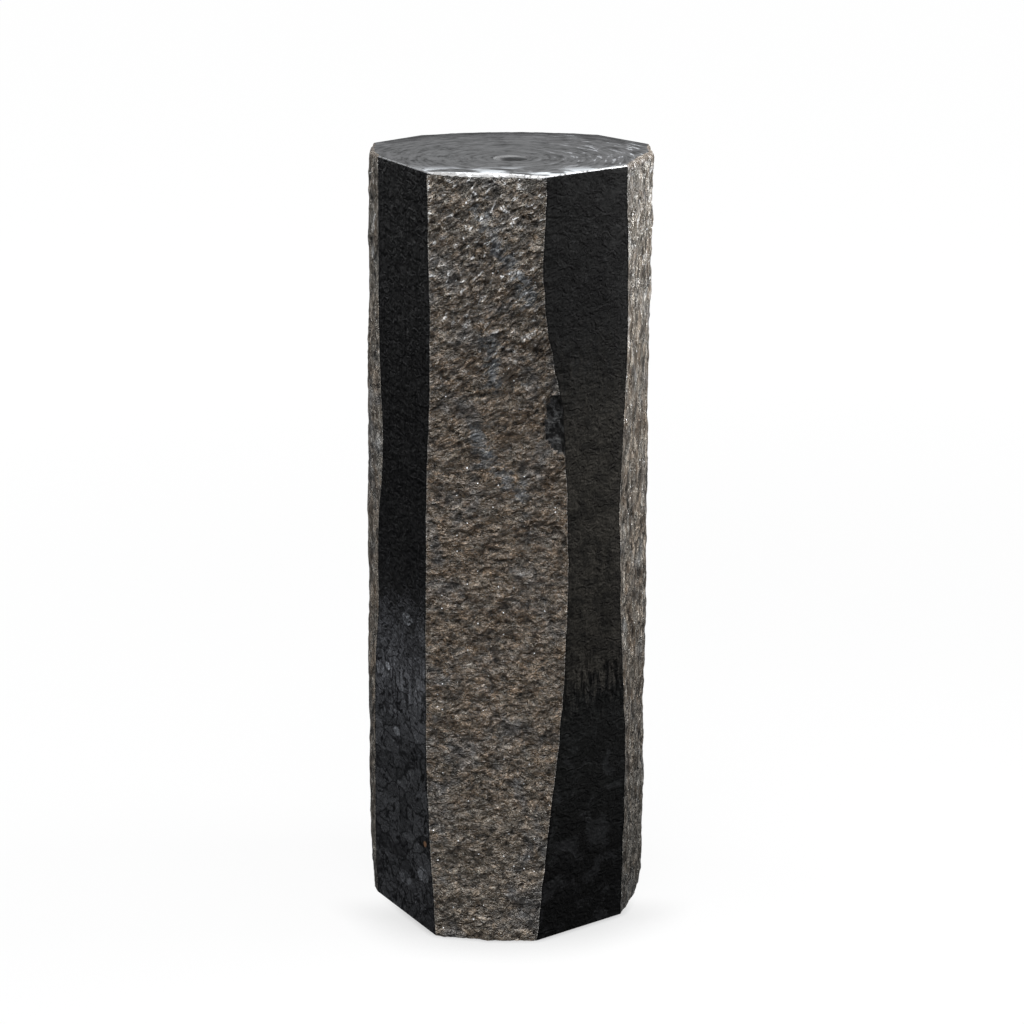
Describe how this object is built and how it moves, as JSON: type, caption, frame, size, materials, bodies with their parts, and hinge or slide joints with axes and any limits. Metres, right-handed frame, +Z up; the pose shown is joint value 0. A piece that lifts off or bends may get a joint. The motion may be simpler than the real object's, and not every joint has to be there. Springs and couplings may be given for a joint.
{
  "type": "basalt column",
  "caption": "Upright basalt column with polished flats between rough natural sides, a level polished top and a bore down through it for a fountain pipe.",
  "frame": {"origin": "middle of the column's box at its foot, on the surface that it stands on", "axes": "+Z up along the column, +X to the right and -Y towards the viewer of its front rough side"},
  "size_m": [0.3426, 0.3377, 0.915],
  "materials": {
    "basalt": "rough brown-grey natural skin with near-black polished flats and a polished grey top"
  },
  "bodies": {
    "root": {"basalt_column": "basalt"}
  },
  "joints": []
}
